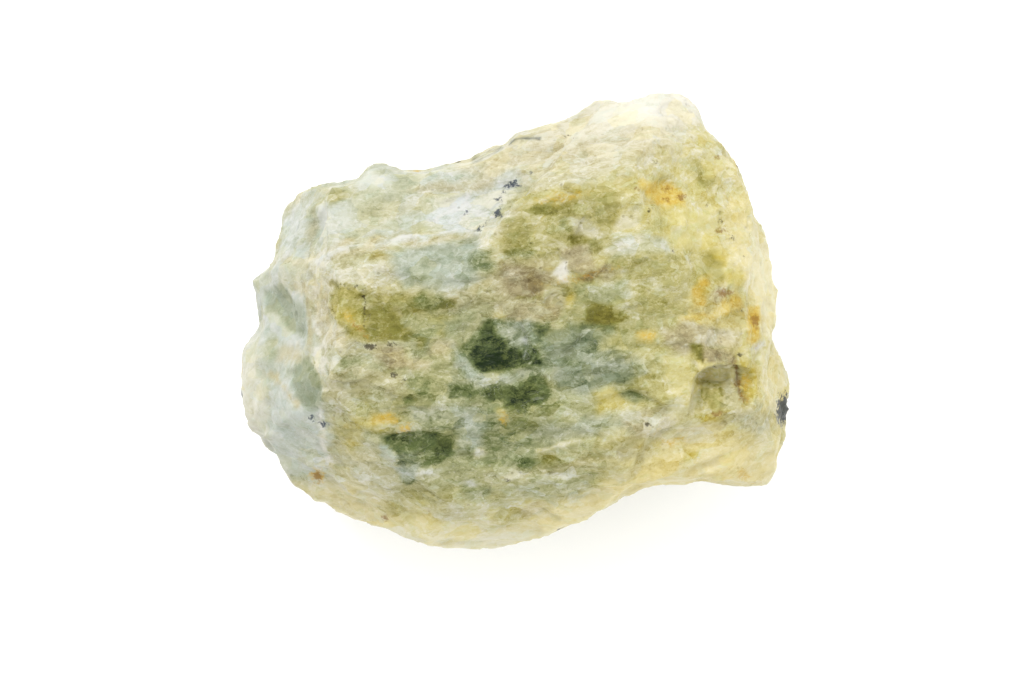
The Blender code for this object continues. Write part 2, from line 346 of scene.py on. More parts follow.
# Later features are laid over earlier ones. Soft is the half width of the edge in pixels, amount is how much
# of the feature shows, smooth takes the fine texture away, lift raises the surface in mm, soften rounds it
# off, and onSides is the share that steep sides get
features = (
    # broad zones
    spot("yellow", 0.36, (700, 300), (140, 230), soft=110, amount=0.85, smooth=0.1),
    spot("olive", 0.42, (640, 300), (60, 60), 30, soft=50, amount=0.75, smooth=0.4),
    spot("yellow", 0.25, (470, 530), (210, 38), soft=30, amount=0.9, smooth=0.3),
    spot("green", 0.5, (500, 385), (150, 74), 6, soft=70, amount=0.8, smooth=0.15),
    spot("green", 0.5, (530, 455), (150, 36), 8, soft=36, amount=0.8, smooth=0.25),
    # painted glow: these cream streaks and spots along the lower outline are the stone's cream, brightened as
    # light through the thin edge
    streak("creamAndGlow", 0.26, 42, (320, 500), (360, 515), (400, 532), (470, 546), (530, 543), (600, 508),
           (680, 478), (770, 470), soft=14, amount=0.95, smooth=0.5),
    streak("creamAndGlow", 0.06, 14, (340, 512), (360, 520), (400, 538), (470, 551), (520, 549), (600, 514),
           (680, 484), soft=10, amount=0.9, smooth=0.6),
    spot("creamAndGlow", 0.36, (700, 456), (90, 40), soft=40, amount=0.9, smooth=0.4),
    spot("warm", 0.26, (350, 480), (50, 40), 30, soft=30, amount=0.8, smooth=0.4),
    spot("creamAndGlow", 0.28, (352, 505), (40, 14), -22, soft=14, amount=0.7, smooth=0.4),
    area("blue", 0.28, (240, 250), (300, 262), (308, 300), (318, 330), (326, 360), (320, 400), (330, 440),
         (318, 480), (250, 480), (215, 400), (225, 320), soft=10, smooth=0.65),
    area("blue", 0.3, (270, 262), (290, 205), (345, 160), (440, 150), (540, 130), (540, 160), (500, 228),
         (430, 230), (345, 243), (300, 264), soft=12, amount=0.85, smooth=0.55),
    area("tan", 0.13, (455, 160), (540, 120), (640, 80), (725, 90), (740, 140), (690, 140), (640, 160),
         (590, 172), (530, 172), (470, 190), soft=22, smooth=0.3),
    spot("chalk", 0.02, (655, 108), (56, 20), 14, soft=24, smooth=0.5),
    spot("warm", 0.26, (560, 186), (60, 20), 14, soft=24, amount=0.8),
    spot("tan", 0.26, (590, 150), (60, 10), 14, soft=12, amount=0.6),
    # painted glow: cream on the right outline, the stone's cream brightened as light through the thin edge
    spot("creamAndGlow", 0.24, (750, 250), (20, 66), 12, soft=20, amount=0.85, smooth=0.3),
    # pale band under the upper ridge, and the smooth blue green part of it
    spot("warm", 0.2, (355, 274), (56, 14), 6, soft=10),
    area("blue", 0.48, (392, 252), (420, 240), (478, 238), (492, 262), (474, 284), (440, 290), (400, 286),
         soft=8, smooth=0.4),
    spot("green", 0.58, (484, 262), (12, 13), soft=6, amount=0.8),
    # pale left margin of the main face
    area("tan", 0.14, (311, 282), (332, 282), (329, 300), (336, 316), (346, 336), (342, 352), (322, 344),
         (313, 322), soft=5, amount=0.9),
    area("warm", 0.24, (322, 345), (344, 352), (346, 385), (348, 421), (330, 425), (324, 395), (326, 370),
         soft=7, amount=0.85),
    spot("warm", 0.04, (319, 363), (6, 15)),
    streak("warm", 0.0, 2, (313, 321), (319, 333), (323, 343), soft=2),
    # facets of the left end
    area("blue", 0.5, (264, 291), (282, 286), (289, 293), (301, 306), (306, 313), (306, 334), (296, 337),
         (288, 331), (279, 317), (266, 313), soft=3, smooth=0.85, lift=-0.08),
    area("blue", 0.2, (270, 313), (277, 315), (291, 333), (300, 338), (300, 346), (288, 346), (275, 332),
         (269, 323), soft=2, smooth=0.85),
    area("blue", 0.56, (299, 355), (310, 356), (314, 370), (320, 384), (320, 408), (310, 412), (302, 408),
         (293, 391), (291, 372), soft=3, smooth=0.85, lift=-0.08),
    spot("tan", 0.26, (288, 353), (14, 9), soft=6, amount=0.8, smooth=0.7),
    streak("tan", 0.3, 5, (271, 372), (284, 388), (296, 406), smooth=0.6),
    spot("warm", 0.1, (248, 400), (14, 66), 8, soft=12, amount=0.9, smooth=0.8),
    spot("green", 0.38, (270, 350), (8, 10), soft=6, amount=0.5, smooth=0.8),
    streak("tan", 0.42, 5, (306, 300), (310, 325), (309, 350), soft=3, amount=0.8, smooth=0.5),
    spot("tan", 0.24, (300, 288), (8, 6), smooth=0.5),
    spot("blue", 0.28, (316, 440), (12, 34), -8, soft=8, amount=0.7, smooth=0.2),
    streak("chalk", 0.1, 3, (318, 412), (322, 440), (330, 466), amount=0.7),
    spot("green", 0.55, (345, 361), (8, 4), 10, amount=0.8),
    spot("green", 0.5, (353, 384), (5, 8), amount=0.8),
    spot("green", 0.52, (378, 388), (14, 5), 12, soft=5, amount=0.7),
    # upper left
    area("blue", 0.18, (318, 202), (342, 202), (354, 214), (348, 230), (322, 232), (314, 216), soft=6,
         smooth=0.8),
    spot("blue", 0.24, (294, 234), (15, 24), 10, soft=7, smooth=0.5),
    spot("olive", 0.42, (338, 194), (16, 6), 14, soft=5, amount=0.8),
    spot("tan", 0.5, (311, 228), (5, 14), soft=5, amount=0.5),
    spot("blue", 0.38, (457, 176), (22, 9), 8, soft=6, amount=0.8),
    spot("tan", 0.25, (450, 188), (34, 7), 6, soft=7, amount=0.8),
    # the glassy bump: its pale blue and a painted highlight on it
    spot("blue", 0.12, (371, 178), (16, 8), soft=5, smooth=1.0),
    spot("warm", 0.3, (390, 214), (40, 10), 10, soft=12, amount=0.6),
    # white veins
    spot("tan", 0.08, (395, 243), (88, 4), 9, soft=6, amount=0.85),
    area("blue", 0.1, (424, 226), (434, 204), (452, 196), (474, 194), (492, 186), (508, 168), (520, 172),
         (508, 196), (494, 216), (478, 230), (450, 232), soft=5, amount=0.9),
    streak("blue", 0.02, 5, (318, 262), (345, 246), (380, 244), (420, 236), (452, 231), (478, 232), soft=3,
           amount=0.8, lift=0.08),
    spot("tan", 0.3, (345, 241), (10, 4), 10),
    spot("tan", 0.3, (376, 243), (12, 4), 10),
    # olive glass at the top
    area("olive", 0.45, (521, 205), (530, 190), (559, 186), (590, 184), (616, 196), (618, 222), (604, 249),
         (574, 252), (560, 262), (520, 262), (508, 248), (512, 224), soft=8),
    spot("yellow", 0.42, (560, 194), (36, 8), 6, soft=8, amount=0.8),
    area("olive", 0.44, (500, 217), (560, 216), (572, 232), (566, 258), (520, 260), (500, 250), soft=6,
         amount=0.8),
    area("olive", 0.66, (530, 206), (546, 204), (555, 210), (554, 216), (536, 214), soft=2.5),
    area("olive", 0.56, (562, 205), (580, 208), (594, 212), (588, 218), (566, 212), soft=3, amount=0.9),
    area("olive", 0.54, (592, 204), (612, 202), (616, 214), (614, 228), (600, 226), (592, 214), soft=3),
    spot("green", 0.56, (562, 225), (6, 7), soft=5, amount=0.6),
    spot("olive", 0.56, (527, 230), (7, 5), amount=0.8),
    spot("green", 0.56, (524, 254), (16, 5), amount=0.7),
    area("warm", 0.26, (568, 216), (584, 217), (594, 223), (605, 233), (602, 237), (587, 234), (574, 233),
         soft=3, amount=0.8),
    area("olive", 0.68, (566, 236), (584, 235), (600, 240), (602, 250), (592, 254), (588, 246), (572, 248),
         soft=2.5, lift=-0.1),
    area("blue", 0.36, (614, 238), (640, 232), (668, 236), (672, 256), (640, 262), (610, 258), soft=8,
         amount=0.7, smooth=0.4),
    area("warm", 0.1, (644, 195), (636, 206), (621, 211), (614, 226), (619, 234), (633, 225), (646, 211),
         amount=0.7),
    area("warm", 0.12, (600, 252), (616, 244), (640, 236), (642, 242), (622, 250), (606, 257), soft=3,
         amount=0.7),
    spot("olive", 0.48, (630, 262), (26, 8), 4, soft=6, amount=0.8),
    spot("olive", 0.54, (671, 259), (9, 6), soft=5, amount=0.8),
    area("olive", 0.4, (634, 270), (664, 268), (688, 276), (686, 312), (660, 316), (636, 306), soft=8,
         amount=0.7),
    spot("olive", 0.54, (678, 308), (8, 5), -30, amount=0.7),
    streak("warm", 0.14, 4, (625, 270), (627, 286), (624, 304), amount=0.7),
    # brown stain, its flakes and what lies under it
    area("tan", 0.58, (502, 262), (532, 260), (552, 262), (556, 276), (546, 299), (516, 301), (500, 292),
         soft=8, amount=0.9),
    spot("tan", 0.66, (530, 284), (24, 10), -8, soft=10, amount=0.7),
    spot("tan", 0.9, (539, 276), (4, 2), 20, soft=2, amount=0.7),
    spot("tan", 0.86, (529, 281), (3, 2), -10, soft=2, amount=0.6),
    spot("tan", 0.86, (536, 289), (5, 2), -10, soft=2, amount=0.6),
    spot("tan", 0.86, (546, 284), (2, 3), soft=2, amount=0.6),
    spot("chalk", 0.4, (515, 272), (9, 4), amount=0.7),
    spot("yellow", 0.5, (550, 268), (6, 3), soft=3, amount=0.6),
    streak("olive", 0.8, 2.5, (517, 298), (530, 300), (542, 296), soft=2),
    area("warm", 0.3, (543, 282), (562, 286), (566, 306), (552, 310), (542, 300), soft=5, amount=0.9),
    area("tan", 0.5, (498, 302), (559, 302), (562, 322), (520, 324), (492, 318), soft=7, amount=0.8),
    spot("yellow", 0.5, (500, 314), (5, 3), soft=3, amount=0.7),
    area("green", 0.44, (574, 281), (626, 280), (629, 300), (602, 304), (578, 306), soft=6, amount=0.8,
         smooth=0.3),
    area("tan", 0.5, (560, 250), (588, 243), (591, 256), (597, 268), (580, 271), (566, 268), (562, 259),
         soft=2, smooth=0.4, lift=0.2),
    area("chalk", 0.1, (562, 259), (567, 262), (568, 284), (553, 275), soft=2.5, amount=0.9, smooth=0.5),
    area("tan", 0.84, (574, 277), (590, 271), (604, 264), (606, 272), (590, 280), (578, 281), soft=2.5,
         amount=0.8),
    spot("yellow", 0.56, (569, 300), (4, 7), -10, soft=3, amount=0.8),
    spot("tan", 0.46, (606, 274), (10, 8), soft=5, amount=0.7),
    # olive and green glass on the left
    area("olive", 0.5, (329, 281), (340, 283), (357, 288), (364, 297), (367, 311), (372, 340), (352, 338),
         (336, 325), (331, 300), lift=-0.12),
    spot("yellow", 0.54, (347, 318), (14, 9), -30, soft=8, amount=0.6),
    area("olive", 0.68, (364, 309), (384, 303), (399, 308), (402, 323), (417, 334), (415, 340), (384, 340),
         (370, 338), soft=2, lift=-0.12),
    area("olive", 0.66, (362, 293), (395, 295), (420, 293), (452, 299), (454, 308), (428, 312), (404, 322),
         (399, 309), (384, 303), (366, 308), amount=0.85),
    spot("green", 0.66, (430, 302), (18, 8), soft=6, amount=0.8),
    area("green", 0.52, (404, 322), (424, 316), (450, 312), (478, 314), (470, 330), (444, 344), (420, 346),
         soft=6, amount=0.8),
    spot("olive", 0.6, (421, 341), (5, 6), soft=3, amount=0.8),
    spot("olive", 0.66, (440, 334), (5, 4), soft=3, amount=0.8),
    spot("olive", 0.52, (437, 320), (14, 4), 8, amount=0.7),
    area("tan", 0.56, (368, 342), (402, 346), (410, 356), (404, 368), (386, 366), (374, 356), soft=5,
         amount=0.9),
    area("tan", 0.3, (405, 362), (418, 358), (430, 362), (430, 370), (408, 371), soft=3, amount=0.8),
    area("green", 0.5, (407, 374), (420, 372), (430, 380), (430, 396), (418, 400), (408, 390), amount=0.9),
    spot("green", 0.6, (406, 401), (6, 5), amount=0.8),
    area("warm", 0.4, (335, 366), (366, 362), (396, 372), (402, 396), (366, 398), (338, 392), soft=7,
         amount=0.8),
    spot("green", 0.52, (350, 361), (10, 4), 8, amount=0.8),
    spot("tan", 0.34, (440, 348), (12, 9), soft=6, amount=0.7),
    spot("yellow", 0.44, (372, 424), (24, 7), 2, soft=5, amount=0.75),
    spot("sun", 0.46, (382, 420), (12, 5), 6, amount=0.6),
    spot("yellow", 0.42, (352, 444), (10, 8), 30, soft=6, amount=0.6),
    area("blue", 0.5, (408, 412), (436, 408), (452, 414), (450, 426), (420, 428), soft=5, amount=0.8),
    spot("green", 0.46, (486, 412), (12, 7), amount=0.8),
    spot("yellow", 0.5, (502, 413), (5, 5), soft=3, amount=0.8),
    # thin dark lines where the glassy shards end
    streak("olive", 0.8, 1.5, (330, 281), (345, 284), (358, 289), (364, 300), soft=1.5, amount=0.7),
    streak("olive", 0.86, 1.5, (364, 312), (365, 326), (370, 339), (386, 341), soft=1.5, amount=0.7),
    streak("tan", 0.8, 2, (370, 346), (382, 358), (394, 372), (402, 384), soft=2, amount=0.7),
    streak("olive", 0.66, 1.5, (505, 252), (530, 250), (556, 250), soft=1.5, amount=0.7),
    # the deep green window and the bluish cloud in it
    area("green", 0.62, (450, 350), (468, 340), (484, 322), (500, 318), (530, 322), (550, 322), (548, 338),
         (556, 356), (552, 372), (520, 376), (482, 376), (462, 368), lift=-0.1),
    area("green", 0.92, (468, 356), (478, 340), (485, 324), (491, 321), (496, 333), (507, 338), (514, 345),
         (523, 351), (537, 347), (541, 367), (523, 365), (509, 370), (482, 372), (475, 363), soft=2,
         lift=-0.15),
    spot("green", 1.1, (490, 358), (13, 9), -10),
    spot("green", 0.86, (541, 330), (9, 6), -20, amount=0.9),
    area("blue", 0.6, (498, 322), (526, 320), (538, 334), (534, 344), (517, 346), (508, 338), (496, 332),
         amount=0.85),
    # painted glint: the light blue-grey streak in the window
    streak("slate", 0.3, 3, (524, 338), (526, 346), (524, 356), soft=2, amount=0.8),
    streak("blue", 0.1, 1, (531, 352), (534, 358), (529, 365), soft=1.5, amount=0.8),
    area("blue", 0.38, (452, 346), (466, 356), (478, 372), (486, 378), (470, 380), (456, 366), amount=0.8),
    spot("blue", 0.5, (498, 379), (28, 5), 4, soft=5, amount=0.75),
    streak("blue", 0.2, 1.5, (508, 324), (512, 334), (508, 346), soft=2, amount=0.6),
    streak("blue", 0.2, 1.5, (520, 324), (522, 334), (519, 342), soft=2, amount=0.6),
    # the window below it
    area("green", 0.76, (448, 383), (473, 382), (498, 385), (509, 374), (537, 370), (550, 388), (553, 395),
         (537, 406), (521, 409), (509, 400), (491, 401), (478, 397), (450, 397), soft=2.5, lift=-0.1),
    spot("green", 0.88, (527, 400), (14, 8), 8, soft=5, amount=0.9),
    spot("green", 0.8, (486, 391), (14, 6), soft=5, amount=0.8),
    spot("blue", 0.34, (505, 380), (24, 4), 12, amount=0.7),
    # grey green glass right of the windows
    area("blue", 0.69, (540, 334), (575, 326), (610, 330), (604, 350), (640, 362), (636, 380), (590, 392),
         (556, 388), (546, 360), soft=8, amount=0.9, smooth=0.2),
    spot("green", 0.7, (590, 328), (18, 4), soft=5, amount=0.8),
    spot("green", 0.68, (594, 348), (10, 5), 20, soft=5, amount=0.7),
    spot("green", 0.68, (572, 360), (9, 4), amount=0.7),
    spot("blue", 0.62, (614, 368), (34, 7), 8, soft=8, amount=0.8, smooth=0.2),
    streak("blue", 0.3, 2, (596, 364), (620, 366), (646, 372), soft=3, amount=0.6),
    area("olive", 0.78, (588, 311), (602, 303), (629, 317), (621, 323), (605, 325), (586, 324), soft=2.5),
    spot("olive", 0.46, (648, 311), (16, 8), soft=6, amount=0.8),
    area("green", 0.6, (614, 388), (638, 391), (650, 399), (635, 404), (620, 399)),
    spot("olive", 0.58, (651, 377), (11, 3), 6),
    area("yellow", 0.52, (593, 391), (614, 385), (622, 394), (635, 408), (622, 418), (595, 420), soft=6,
         amount=0.8),
    # lower windows and streaks
    spot("blue", 0.48, (600, 424), (56, 8), 8, soft=8, amount=0.7),
    spot("green", 0.54, (470, 428), (60, 12), 4, soft=12, amount=0.7),
    area("blue", 0.46, (453, 412), (476, 410), (486, 424), (482, 446), (462, 450), (454, 432), soft=7,
         amount=0.85),
    area("green", 0.7, (382, 436), (409, 430), (431, 432), (453, 436), (454, 455), (441, 465), (419, 468),
         (396, 465), (395, 448), soft=2, lift=-0.12),
    spot("green", 0.78, (440, 448), (12, 9), soft=5, amount=0.8),
    spot("green", 0.76, (404, 441), (12, 6), soft=5, amount=0.8),
    spot("blue", 0.74, (404, 458), (9, 8), soft=5, amount=0.6),
    area("blue", 0.4, (379, 441), (388, 444), (396, 456), (395, 462), (381, 456), soft=2, smooth=0.6),
    area("blue", 0.5, (396, 468), (416, 468), (418, 478), (407, 485), (397, 476), soft=3, smooth=0.4),
    streak("green", 0.76, 1.5, (396, 474), (402, 482), (408, 485), (418, 479), soft=1.5, amount=0.9),
    spot("blue", 0.1, (426, 472), (9, 2), 10, soft=2.5, amount=0.6),
    spot("warm", 0.1, (479, 455), (5, 5), soft=3),
    area("green", 0.58, (503, 440), (520, 436), (540, 438), (538, 446), (518, 450), (505, 448), amount=0.9),
    area("green", 0.72, (513, 458), (522, 455), (534, 462), (533, 471), (520, 472), soft=3),
    spot("olive", 0.6, (549, 457), (8, 5), 10, amount=0.9),
    streak("olive", 0.5, 7, (569, 466), (584, 463), (600, 457), soft=3),
    spot("green", 0.54, (486, 465), (8, 4), amount=0.9),
    area("green", 0.5, (460, 484), (474, 481), (490, 484), (488, 496), (470, 501), (462, 494), amount=0.9),
    spot("blue", 0.1, (469, 483), (5, 3), soft=3, amount=0.8),
    streak("yellow", 0.18, 2, (537, 450), (560, 444), (580, 440), (628, 436), soft=2.5, amount=0.8),
    streak("warm", 0.34, 8, (490, 478), (540, 474), (600, 462), (650, 450), soft=7, amount=0.7),
    spot("green", 0.34, (560, 486), (44, 10), 14, soft=8, amount=0.8),
    area("yellow", 0.36, (508, 505), (530, 500), (549, 502), (548, 514), (520, 520), (510, 516),
         amount=0.7),
    spot("tan", 0.3, (530, 510), (16, 6), 14, amount=0.6),
    spot("olive", 0.38, (505, 520), (16, 8), 14, soft=5, amount=0.8),
    spot("warm", 0.34, (455, 512), (20, 8), -6, soft=6, amount=0.8),
    spot("olive", 0.36, (395, 511), (13, 8), -20, soft=6, amount=0.8),
    spot("yellow", 0.04, (506, 541), (18, 9), 10, soft=6, smooth=0.6),
    spot("yellow", 0.18, (450, 534), (60, 10), -4, soft=8, amount=0.8, smooth=0.4),
    area("tan", 0.26, (624, 420), (646, 412), (672, 416), (672, 430), (650, 438), (628, 436), soft=5,
         amount=0.6),
    spot("yellow", 0.56, (657, 445), (7, 5), amount=0.9),
    spot("yellow", 0.5, (694, 454), (9, 6), soft=5),
    spot("tan", 0.3, (690, 432), (30, 8), 8, soft=8, amount=0.5),
    # grey streaks on the upper outline
    streak("slate", 0.74, 3, (475, 161), (488, 153), (501, 147), soft=2, smooth=0.8, onSides=0.35),
    streak("slate", 0.72, 3, (508, 142), (522, 138), (539, 139), soft=2, smooth=0.6, onSides=0.35),
    # the right side
    area("yellow", 0.37, (668, 213), (713, 209), (713, 236), (705, 251), (671, 247), (664, 228), soft=7,
         amount=0.9, smooth=0.7),
    area("yellow", 0.56, (709, 251), (728, 254), (724, 281), (709, 277), (705, 258), soft=3, smooth=0.8),
    area("yellow", 0.48, (724, 267), (743, 271), (746, 288), (728, 286), soft=3, smooth=0.6),
    area("sun", 0.44, (640, 184), (652, 180), (672, 184), (686, 194), (684, 204), (668, 206), (652, 200),
         amount=0.95, smooth=0.2),
    streak("olive", 0.42, 12, (688, 166), (698, 174), (708, 184), soft=6, amount=0.8),
    spot("yellow", 0.3, (702, 134), (16, 14), soft=10, amount=0.8),
    area("olive", 0.46, (698, 250), (712, 252), (724, 262), (728, 280), (712, 286), (702, 272), amount=0.8,
         smooth=0.6),
    area("yellow", 0.44, (687, 300), (702, 282), (720, 288), (745, 292), (753, 310), (742, 326), (709, 328),
         (690, 318), soft=5),
    spot("tan", 0.5, (722, 308), (36, 22), soft=10, amount=0.4),
    spot("sun", 0.56, (702, 292), (6, 13), -24, soft=5, amount=0.75),
    spot("sun", 0.5, (730, 304), (14, 6), 14, soft=5, amount=0.7),
    spot("sun", 0.44, (698, 319), (12, 6), 20, soft=5, amount=0.7),
    spot("sun", 0.44, (645, 336), (11, 5), 6, amount=0.7),
    spot("tan", 0.32, (720, 294), (6, 8), -30, amount=0.8),
    # painted glow: cream on the right outline, the stone's cream brightened as light through the thin edge
    spot("creamAndGlow", 0.1, (768, 292), (14, 42), 6, soft=10, amount=0.9, smooth=0.8),
    area("sun", 0.5, (746, 308), (758, 309), (761, 328), (756, 346), (747, 340)),
    area("tan", 0.3, (661, 332), (690, 326), (730, 328), (738, 340), (736, 352), (700, 352), (686, 358),
         (664, 345), soft=5),
    spot("warm", 0.0, (758, 346), (5, 4), soft=3),
    area("yellow", 0.34, (664, 359), (692, 359), (700, 376), (696, 402), (676, 404), (664, 386), soft=6,
         amount=0.7, smooth=0.5),
    # the hollow and its two crystals
    area("olive", 0.42, (694, 346), (734, 346), (746, 372), (746, 404), (722, 410), (700, 408), (694, 380),
         soften=0.6),
    # painted shade: the band at the top of the hollow is the wall's brown, darkened as the overhang's shade;
    # the steep wall below it is painted paler, a painted light that undoes its shade
    area("tan", 0.5, (698, 347), (734, 349), (738, 360), (732, 368), (702, 368), soft=3, onSides=1.0),
    area("yellow", 0.36, (696, 364), (738, 364), (736, 388), (696, 388), onSides=1.0),
    # painted shadow: the dark corner under the overhang
    area("olive", 0.8, (691, 347), (704, 346), (704, 366), (697, 362), soft=3, lift=-0.1),
    area("olive", 0.34, (700, 382), (720, 382), (721, 408), (712, 412), (700, 406), soft=2, smooth=0.3,
         lift=0.05),
    streak("olive", 0.54, 2, (701, 384), (701, 402), soft=1.5),
    streak("olive", 0.48, 2, (707, 384), (707, 404), soft=1.5),
    streak("olive", 0.46, 2, (714, 384), (714, 406), soft=1.5),
    streak("olive", 0.6, 2, (721, 384), (722, 406), soft=1.5),
    area("warm", 0.42, (724, 386), (730, 380), (736, 388), (746, 402), (736, 408), (722, 404), soft=3,
         smooth=0.3, lift=0.05),
    streak("tan", 0.66, 4, (735, 360), (737, 378), (740, 390), (748, 400), soft=2, lift=-0.12),
    area("yellow", 0.6, (742, 359), (758, 362), (765, 378), (760, 400), (748, 398), (742, 384)),
    # painted glow: cream on the right outline, the stone's cream brightened as light through the thin edge
    spot("creamAndGlow", 0.3, (774, 380), (14, 28), soft=10, amount=0.8, smooth=0.5),
    area("yellow", 0.56, (694, 414), (724, 414), (718, 422), (698, 420), soft=3),
    spot("warm", 0.36, (750, 422), (26, 15), soft=8),
)

# Stains, specks and cracks
marks = {
    "gold": (
        dot((647, 336), (5, 3), 10), dot((662, 201), (7, 3), -10), dot((672, 190), (9, 4), -20),
        dot((586, 275), (9, 1), 12), dot((753, 328), (3, 10), 10), dot((744, 475), (5, 4)),
        dot((390, 418), (5, 3)), dot((405, 428), (5, 3)), dot((386, 418), (5, 2), 6),
        dot((505, 418), (3, 4)), dot((745, 385), (4, 10)), dot((317, 476), (6, 6)),
        crack(1, (346, 316), (360, 328), (369, 339)), dot((566, 196), (12, 2), 8),
        dot((672, 443), (8, 3), 10),
    ),
    "rust": (
        dot((590, 275), (8, 1.5), 12), dot((755, 321), (2, 5), 10), dot((681, 197), (4, 3)),
        dot((668, 190), (4, 1.5)), dot((667, 200), (3, 2)), dot((637, 189), (2, 1.5)),
        dot((725, 293), (7, 4)), dot((317, 477), (3, 4)), crack(2, (354, 324), (362, 330), (366, 336)),
        crack(3, (735, 362), (738, 376), (739, 390), (744, 399)), dot((384, 519), (3, 3)),
        dot((721, 230), (3, 2)), dot((719, 157), (2, 2)), dot((718, 414), (6, 3), 10),
    ),
    "ink": (
        dot((479, 229), (3, 2), 30), dot((509, 184), (3, 2), 30), dot((515, 183), (2, 3)),
        dot((498, 198), (3, 2)), dot((496, 214), (3, 2)), dot((500, 216), (1.5, 1.5)),
        crack(1, (478, 230), (484, 225), (489, 220)),
        crack(0.6, (496, 214), (500, 207), (502, 201), (498, 197), (505, 190), (509, 184), (523, 184)),
        dot((531, 173), (2, 1.5)), dot((466, 212), (2, 1.5), 30), dot((323, 424), (5, 2), -20),
        dot((311, 418), (2, 1.5)), dot((783, 410), (6, 14), onSides=True),
    ),
    "umber": (
        crack(1.5, (338, 282), (347, 285)), dot((356, 286), (1.5, 1.5)),
        crack(0.8, (362, 290), (365, 302), (364, 313), (363, 323), (365, 333)), dot((365, 302), (1.5, 1.5)),
        dot((370, 346), (6, 3)), dot((390, 344), (4, 2)), dot((393, 374), (2.5, 2)),
        dot((406, 379), (2, 1.5)), dot((654, 162), (2, 1.5)), dot((651, 210), (2, 1.5)),
        dot((720, 221), (2.5, 1.5)), dot((744, 256), (4, 1.5), -30), dot((732, 239), (1.5, 1.5)),
        dot((741, 310), (1.5, 2)), dot((740, 355), (2, 1.5)), dot((570, 136), (3, 1.5)),
        dot((567, 264), (1.5, 4.5)), dot((672, 252), (1.2, 1.2)), dot((594, 239), (1.5, 1)),
        dot((532, 243), (1.5, 1)), dot((559, 249), (1.5, 1)), dot((707, 205), (1.5, 1.5)),
        dot((508, 481), (1.5, 1.5)), dot((648, 425), (1.5, 1)), dot((715, 368), (1.5, 1)),
    ),
}
markReach = 8.0  # a mark's distance is kept as far as this many pixels

# How far noise pulls the shapes about, in pixels of the photograph, and its size in mm
featureWarp = {
    "wide": {"pull": 5.0, "size": 1.6},
    "fine": {"pull": 3.0, "size": 0.5},
    "ragged": {"pull": 5.0, "size": 0.42},
    "marks": 0.25,
    "fullSoft": 5.0,
}

# Where the photograph's view counts: heights in mm over the rim, and the upward part of the broad normal.
# From wideSoft on a feature is a wide zone, which loses only a part of its strength on steep sides
viewRange = {
    "seen": (-2.5, -0.5),
    "above": (-0.2, 0.4),
    "upright": (0.05, 0.3),
    "wideSoft": 10,
    "wideLoss": 0.25,
    "softenEdge": 6.0,
    "liftEdge": 1.5,
}

# Where the photograph shows nothing: the level and its swing, the sizes of the noise along and across the
# fibres in mm, and the noise that scatters marks, in pixels
hiddenLook = {
    "level": 0.38,
    "swing": 0.3,
    "levelSize": (4.0, 2.0),
    "hueSize": (6.0, 3.0),
    "hues": ("green", "yellow", "blue", "olive", "tan"),
    "hueEdge": (0.0, 0.5),
    "seenLoss": 0.6,
    "markSize": (1.8, 0.9),
    "markSwing": 24.0,
    "markShift": -15.0,
}
rimGlowEdge = 0.75  # the rim mask, a painted glow that makes steep sides paler, ends where the broad normal points up by this much

def edgeDistance(pixels, first, second):
    edge = second - first
    share = np.clip((pixels - first) @ edge / (edge @ edge), 0.0, 1.0)
    away = pixels - first - share[:, None] * edge
    return np.hypot(away[:, 0], away[:, 1])


def outlineDistance(pixels, outline):
    # how far inside an outline each point lies, negative outside
    nearest = np.full(len(pixels), np.inf)
    inside = np.zeros(len(pixels), bool)
    corners = np.array(outline, float)
    for first, second in zip(corners, np.roll(corners, -1, axis=0)):
        nearest = np.minimum(nearest, edgeDistance(pixels, first, second))
        spans = (first[1] > pixels[:, 1]) != (second[1] > pixels[:, 1])
        edge = second - first
        if edge[1] != 0.0:
            crossing = first[0] + (pixels[:, 1] - first[1]) / edge[1] * edge[0]
            inside ^= spans & (pixels[:, 0] < crossing)
    return np.where(inside, nearest, -nearest)


def lineDistance(pixels, path, width):
    corners = np.array(path, float)
    distances = [edgeDistance(pixels, *ends) for ends in zip(corners, corners[1:])]
    return width / 2.0 - np.min(distances, axis=0)


def ovalDistance(pixels, middle, halfSize, turn):
    angle = -math.radians(turn)  # pixel rows run downwards
    away = pixels - np.array(middle)
    along = away[:, 0] * math.cos(angle) + away[:, 1] * math.sin(angle)
    across = away[:, 1] * math.cos(angle) - away[:, 0] * math.sin(angle)
    return (1.0 - np.hypot(along / halfSize[0], across / halfSize[1])) * min(halfSize)


def shapeDistance(pixels, shape):
    if "outline" in shape:
        return outlineDistance(pixels, shape["outline"])
    if "line" in shape:
        return lineDistance(pixels, shape["line"], shape["width"])
    return ovalDistance(pixels, *shape["oval"])


